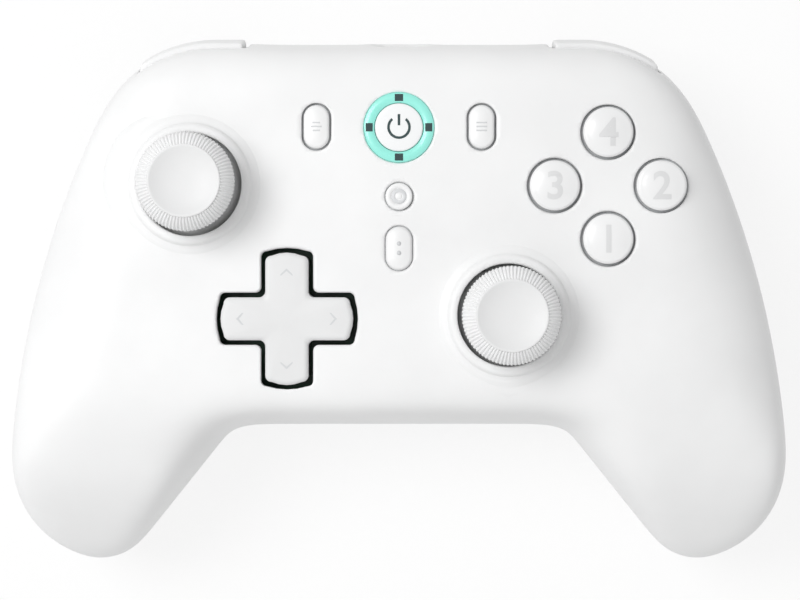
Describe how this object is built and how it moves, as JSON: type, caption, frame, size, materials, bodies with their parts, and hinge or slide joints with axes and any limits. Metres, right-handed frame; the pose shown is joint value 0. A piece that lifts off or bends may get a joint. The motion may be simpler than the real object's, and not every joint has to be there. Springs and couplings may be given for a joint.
{
  "type": "wireless gamepad",
  "caption": "Wireless gamepad with thumb sticks, a cross pad, round push buttons, a lit home ring, shoulder bumpers and pull triggers on a two-part white housing.",
  "frame": {"origin": "middle of the underside, at the centre of the overall box", "axes": "lying face up: +X to the player's right, +Y towards the bumpers, +Z out of the face"},
  "size_m": [0.1544, 0.1042, 0.0575],
  "materials": {
    "shell": "fine satin white",
    "key": "satin white",
    "cap": "satin white, milled edge",
    "clear_button": "glossy milky white",
    "home_disc": "smooth white",
    "light_ring": "milky turquoise, lit from below",
    "steel": "plain",
    "inner_plastic": "moulded black",
    "board": "green lacquer",
    "pad_rubber": "grey silicone",
    "switch_plastic": "plain",
    "battery_wrap": "shrink film",
    "weight_metal": "sintered"
  },
  "bodies": {
    "housing": {"front_shell": "shell", "rear_shell": "shell", "screws": "steel", "chassis": "inner_plastic", "main_board": "board", "button_pads": "pad_rubber", "plug_socket": "steel", "bumper_switches": "switch_plastic", "battery": "battery_wrap", "motor_right": "steel", "motor_left": "steel", "dpad_stand": "inner_plastic", "home_ring": "light_ring", "stick_case_left": "steel", "stick_case_right": "steel"},
    "button_1": {"button_1": "clear_button"},
    "button_2": {"button_2": "clear_button"},
    "button_3": {"button_3": "clear_button"},
    "button_4": {"button_4": "clear_button"},
    "button_view": {"button_view": "key"},
    "button_menu": {"button_menu": "key"},
    "button_mode": {"button_mode": "key"},
    "button_capture": {"button_capture": "key"},
    "button_home": {"button_home": "home_disc"},
    "dpad_link": {"dpad_link": "inner_plastic"},
    "dpad": {"dpad": "key"},
    "stick_rocker_left": {"stick_rocker_left": "inner_plastic"},
    "stick_pivot_left": {"stick_pivot_left": "inner_plastic"},
    "stick_bow_left": {"stick_bow_left": "inner_plastic"},
    "stick_left": {"stick_left": "cap"},
    "stick_rocker_right": {"stick_rocker_right": "inner_plastic"},
    "stick_pivot_right": {"stick_pivot_right": "inner_plastic"},
    "stick_bow_right": {"stick_bow_right": "inner_plastic"},
    "stick_right": {"stick_right": "cap"},
    "bumper_right": {"bumper_right": "shell"},
    "trigger_right": {"trigger_right": "shell"},
    "motor_weight_right": {"motor_weight_right": "weight_metal"},
    "bumper_left": {"bumper_left": "shell"},
    "trigger_left": {"trigger_left": "shell"},
    "motor_weight_left": {"motor_weight_left": "weight_metal"}
  },
  "joints": [
    {"name": "button_1_press", "type": "slide", "parent": "housing", "child": "button_1", "axis": [0, 0, -1], "range_m": [0, 0.0016], "stiffness_N_per_m": 250},
    {"name": "button_2_press", "type": "slide", "parent": "housing", "child": "button_2", "axis": [0, 0, -1], "range_m": [0, 0.0016], "stiffness_N_per_m": 250},
    {"name": "button_3_press", "type": "slide", "parent": "housing", "child": "button_3", "axis": [0, 0, -1], "range_m": [0, 0.0016], "stiffness_N_per_m": 250},
    {"name": "button_4_press", "type": "slide", "parent": "housing", "child": "button_4", "axis": [0, 0, -1], "range_m": [0, 0.0016], "stiffness_N_per_m": 250},
    {"name": "button_view_press", "type": "slide", "parent": "housing", "child": "button_view", "axis": [0, 0, -1], "range_m": [0, 0.0007], "stiffness_N_per_m": 300},
    {"name": "button_menu_press", "type": "slide", "parent": "housing", "child": "button_menu", "axis": [0, 0, -1], "range_m": [0, 0.0007], "stiffness_N_per_m": 300},
    {"name": "button_mode_press", "type": "slide", "parent": "housing", "child": "button_mode", "axis": [0, 0, -1], "range_m": [0, 0.0007], "stiffness_N_per_m": 300},
    {"name": "button_capture_press", "type": "slide", "parent": "housing", "child": "button_capture", "axis": [0, 0, -1], "range_m": [0, 0.0007], "stiffness_N_per_m": 300},
    {"name": "button_home_press", "type": "slide", "parent": "housing", "child": "button_home", "axis": [0, 0, -1], "range_m": [0, 0.0007], "stiffness_N_per_m": 300},
    {"name": "dpad_tilt_up_down", "type": "hinge", "parent": "housing", "child": "dpad_link", "pos_m": [-0.02141, -0.00329, 0.0371], "axis": [1, 0, 0], "range_deg": [-4, 4], "stiffness_Nm_per_rad": 0.5},
    {"name": "dpad_tilt_sideways", "type": "hinge", "parent": "dpad_link", "child": "dpad", "pos_m": [-0.02141, -0.00329, 0.0371], "axis": [0, 1, 0], "range_deg": [-4, 4], "stiffness_Nm_per_rad": 0.5},
    {"name": "stick_left_tilt_up_down", "type": "hinge", "parent": "housing", "child": "stick_rocker_left", "pos_m": [-0.03989, 0.02239, 0.0335], "axis": [1, 0, 0], "range_deg": [-17, 17], "stiffness_Nm_per_rad": 0.08},
    {"name": "stick_left_tilt_sideways", "type": "hinge", "parent": "stick_rocker_left", "child": "stick_pivot_left", "pos_m": [-0.03989, 0.02239, 0.0335], "axis": [0, 1, 0], "range_deg": [-17, 17], "stiffness_Nm_per_rad": 0.08},
    {"name": "stick_left_bow_turn", "type": "hinge", "parent": "housing", "child": "stick_bow_left", "pos_m": [-0.03989, 0.02239, 0.0335], "axis": [0, 1, 0], "range_deg": [-17, 17]},
    {"name": "stick_left_click", "type": "slide", "parent": "stick_pivot_left", "child": "stick_left", "axis": [0, 0, -1], "range_m": [0, 0.0005], "stiffness_N_per_m": 1500},
    {"name": "stick_right_tilt_up_down", "type": "hinge", "parent": "housing", "child": "stick_rocker_right", "pos_m": [0.02102, -0.00261, 0.0335], "axis": [1, 0, 0], "range_deg": [-17, 17], "stiffness_Nm_per_rad": 0.08},
    {"name": "stick_right_tilt_sideways", "type": "hinge", "parent": "stick_rocker_right", "child": "stick_pivot_right", "pos_m": [0.02102, -0.00261, 0.0335], "axis": [0, 1, 0], "range_deg": [-17, 17], "stiffness_Nm_per_rad": 0.08},
    {"name": "stick_right_bow_turn", "type": "hinge", "parent": "housing", "child": "stick_bow_right", "pos_m": [0.02102, -0.00261, 0.0335], "axis": [0, 1, 0], "range_deg": [-17, 17]},
    {"name": "stick_right_click", "type": "slide", "parent": "stick_pivot_right", "child": "stick_right", "axis": [0, 0, -1], "range_m": [0, 0.0005], "stiffness_N_per_m": 1500},
    {"name": "bumper_right_press", "type": "hinge", "parent": "housing", "child": "bumper_right", "pos_m": [0.02348, 0.04207, 0.0276], "axis": [0, 0, -1], "range_deg": [0, 2], "stiffness_Nm_per_rad": 1},
    {"name": "trigger_right_pull", "type": "hinge", "parent": "housing", "child": "trigger_right", "pos_m": [0.04112, 0.03581, 0.0265], "axis": [-1, 0, 0], "range_deg": [0, 15], "stiffness_Nm_per_rad": 0.2},
    {"name": "motor_weight_right_spin", "type": "hinge", "parent": "housing", "child": "motor_weight_right", "pos_m": [0.05659, -0.0031, 0.017], "axis": [0, 1, 0], "continuous": true},
    {"name": "bumper_left_press", "type": "hinge", "parent": "housing", "child": "bumper_left", "pos_m": [-0.02348, 0.04207, 0.0276], "axis": [0, 0, 1], "range_deg": [0, 2], "stiffness_Nm_per_rad": 1},
    {"name": "trigger_left_pull", "type": "hinge", "parent": "housing", "child": "trigger_left", "pos_m": [-0.04112, 0.03581, 0.0265], "axis": [-1, 0, 0], "range_deg": [0, 15], "stiffness_Nm_per_rad": 0.2},
    {"name": "motor_weight_left_spin", "type": "hinge", "parent": "housing", "child": "motor_weight_left", "pos_m": [-0.05659, -0.0031, 0.017], "axis": [0, 1, 0], "continuous": true}
  ],
  "couplings": [
    {"joint": "stick_left_bow_turn", "follows": "stick_left_tilt_sideways", "ratio": 1},
    {"joint": "stick_right_bow_turn", "follows": "stick_right_tilt_sideways", "ratio": 1}
  ]
}
